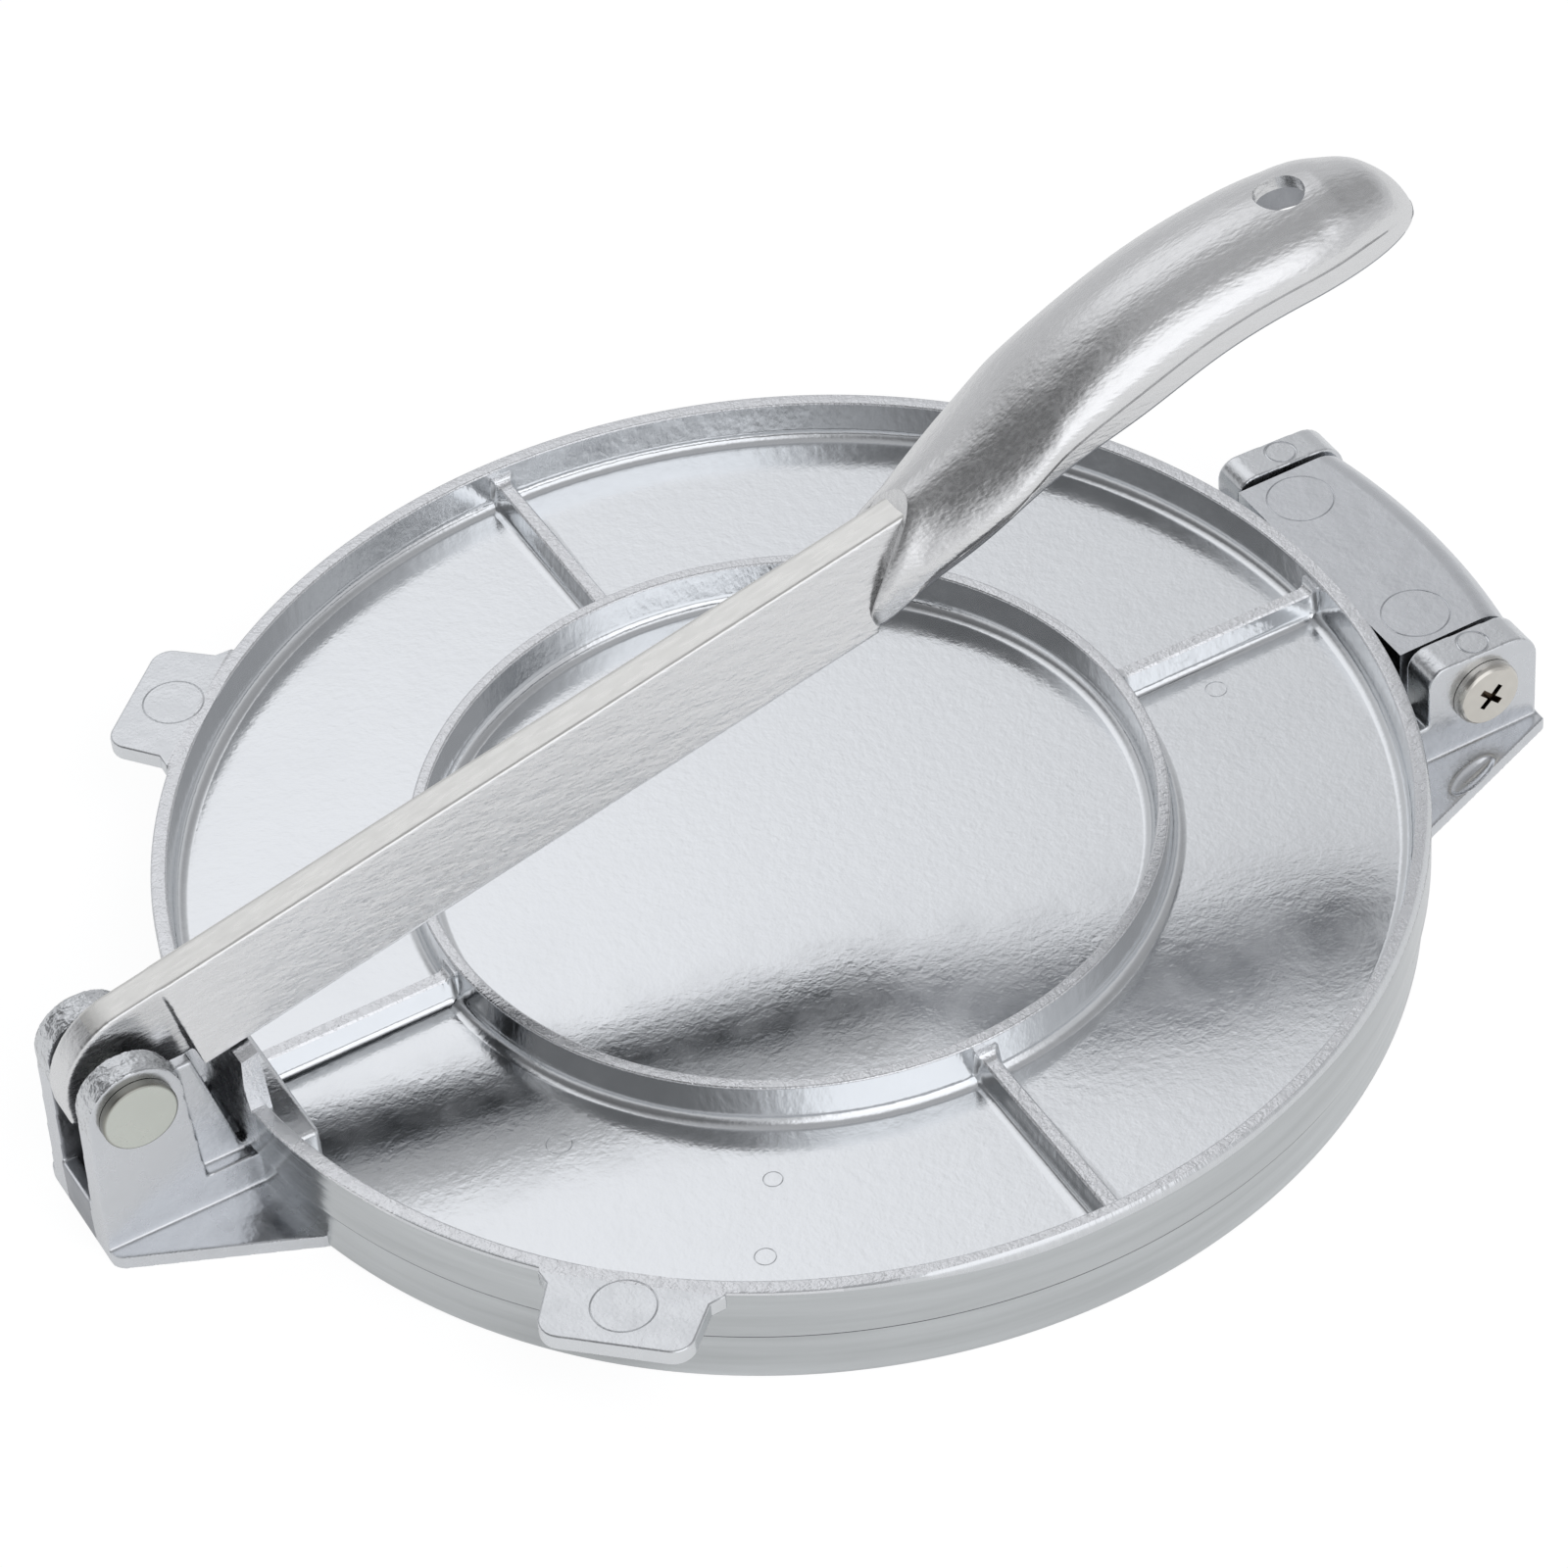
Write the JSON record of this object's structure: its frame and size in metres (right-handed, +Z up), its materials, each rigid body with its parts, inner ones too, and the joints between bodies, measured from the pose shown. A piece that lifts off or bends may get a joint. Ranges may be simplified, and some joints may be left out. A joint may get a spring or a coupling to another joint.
{
  "type": "tortilla press",
  "caption": "Hand press with a round base plate, a hinged ribbed top plate and a long lever with a shell grip that bears on a pad on the top plate.",
  "frame": {"origin": "centre of the round plates, on the surface that the base stands on", "axes": "+X from the lever pivot to the plate hinge, +Y along both pins away from the hinge pin's screw head, +Z up"},
  "size_m": [0.2506, 0.2032, 0.1029],
  "materials": {
    "cast_base": "bright die-cast aluminium, tumbled ears and satin foot",
    "cast_top": "bright die-cast aluminium, mirror-like walls, satin web and filed rim",
    "cast_lever": "die-cast aluminium, satin with fine flow marks",
    "pin_barrel": "dull nickel-plated steel",
    "pin_screw": "polished nickel-plated steel"
  },
  "bodies": {
    "base": {"base_plate": "cast_base", "lever_pin_barrel": "pin_barrel", "lever_pin_screw": "pin_screw", "hinge_pin_barrel": "pin_barrel", "hinge_pin_screw": "pin_screw"},
    "top": {"top_plate": "cast_top"},
    "lever": {"lever": "cast_lever"}
  },
  "joints": [
    {"name": "lever_pivot", "type": "hinge", "parent": "base", "child": "lever", "pos_m": [-0.1178, 0, 0.0287], "axis": [0, -1, 0], "range_deg": [0, 160]},
    {"name": "plate_hinge", "type": "hinge", "parent": "base", "child": "top", "pos_m": [0.1115, 0, 0.013], "axis": [0, 1, 0], "range_deg": [0, 110]}
  ],
  "couplings": [
    {"joint": "plate_hinge", "follows": "lever_pivot", "ratio": 0.09}
  ]
}
